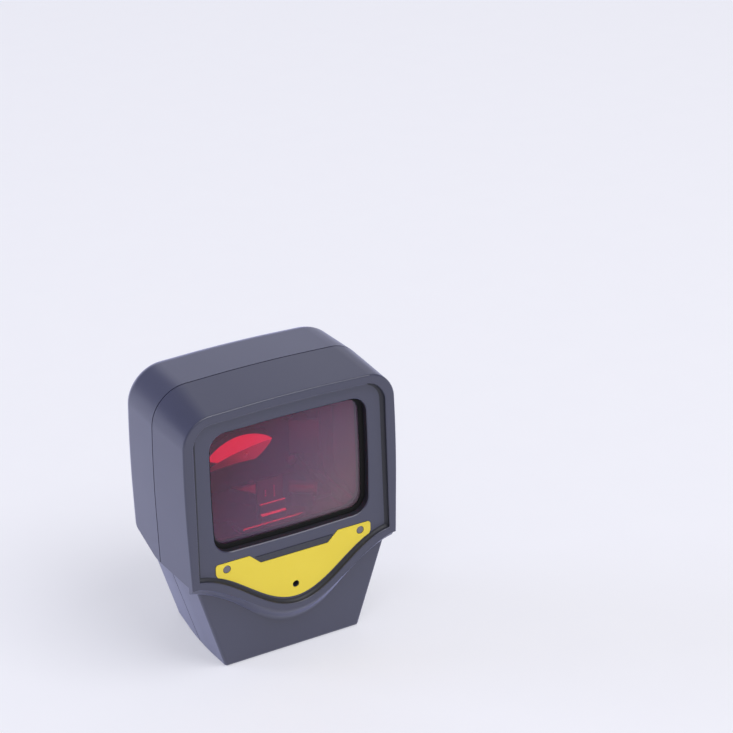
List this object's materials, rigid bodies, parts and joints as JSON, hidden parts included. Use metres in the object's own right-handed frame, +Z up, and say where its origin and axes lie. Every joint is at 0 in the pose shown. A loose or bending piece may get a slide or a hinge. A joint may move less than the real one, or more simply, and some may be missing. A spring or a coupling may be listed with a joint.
{
  "type": "desktop barcode scanner head",
  "caption": "Head of a desktop omnidirectional barcode scanner: two-part housing, deep red window in a rimmed front panel, S-curved lip, spinning mirror wheel and fixed mirrors inside.",
  "frame": {"origin": "middle of the flat base, on the surface the head stands on", "axes": "+Z up, the window faces -Y, +X to the right as seen from the front; X = 0 is the housing's plane of symmetry"},
  "size_m": [0.1088, 0.0814, 0.1341],
  "materials": {
    "charcoal_abs": "satin moulded plastic",
    "matte_black_plastic": "matt",
    "front_silvered_glass": "polished",
    "green_fibreglass_board": "solder mask",
    "zinc_plated_steel": "plated",
    "black_silicone": "matt",
    "red_acrylic": "polished, transparent",
    "yellow_vinyl": "satin",
    "dark_vinyl": "satin",
    "smoked_acrylic": "polished",
    "cream_epoxy": "cast",
    "black_phenolic": "moulded",
    "sintered_bronze": "sintered",
    "ground_steel": "ground",
    "diamond_cut_aluminium": "diamond cut",
    "machined_brass": "machined",
    "cast_aluminium": "as cast",
    "grey_abs": "satin",
    "filter_glass": "polished",
    "black_epoxy": "moulded",
    "cream_nylon": "moulded"
  },
  "bodies": {
    "housing": {"beeper": "black_phenolic", "board_screw_1": "zinc_plated_steel", "board_screw_2": "zinc_plated_steel", "board_screw_3": "zinc_plated_steel", "board_screw_4": "zinc_plated_steel", "cable_socket": "black_epoxy", "chassis_screw_1": "zinc_plated_steel", "chassis_screw_2": "zinc_plated_steel", "chassis_screw_3": "zinc_plated_steel", "chassis_screw_4": "zinc_plated_steel", "collecting_mirror": "front_silvered_glass", "decoder_chip": "black_epoxy", "fold_mirror_left": "front_silvered_glass", "fold_mirror_right": "front_silvered_glass", "fold_mirror_top": "front_silvered_glass", "fold_mirror_upper_left": "front_silvered_glass", "fold_mirror_upper_right": "front_silvered_glass", "front_shell": "charcoal_abs", "indicator_board": "green_fibreglass_board", "indicator_lens_left": "smoked_acrylic", "indicator_lens_right": "smoked_acrylic", "indicator_screw_1": "zinc_plated_steel", "indicator_screw_2": "zinc_plated_steel", "label_band": "dark_vinyl", "label_panel": "yellow_vinyl", "laser_module": "machined_brass", "laser_mount": "cast_aluminium", "main_board": "green_fibreglass_board", "motor_bearing": "sintered_bronze", "optics_chassis": "matte_black_plastic", "photodiode": "filter_glass", "rear_shell": "charcoal_abs", "retainer_screw_1": "zinc_plated_steel", "retainer_screw_2": "zinc_plated_steel", "ribbon_connector": "cream_nylon", "sensor_board": "green_fibreglass_board", "sensor_bracket": "grey_abs", "shell_screw_1": "zinc_plated_steel", "shell_screw_2": "zinc_plated_steel", "shell_screw_3": "zinc_plated_steel", "shell_screw_4": "zinc_plated_steel", "spin_motor": "zinc_plated_steel", "status_led_left": "cream_epoxy", "status_led_right": "cream_epoxy", "window_gasket": "black_silicone", "window_pane": "red_acrylic", "window_retainer": "matte_black_plastic"},
    "spinner": {"mirror_wheel": "diamond_cut_aluminium", "motor_shaft": "ground_steel"}
  },
  "joints": [
    {"name": "wheel_spin", "type": "hinge", "parent": "housing", "child": "spinner", "pos_m": [0, 0.003, 0.0659], "axis": [0, 0, 1], "continuous": true}
  ]
}
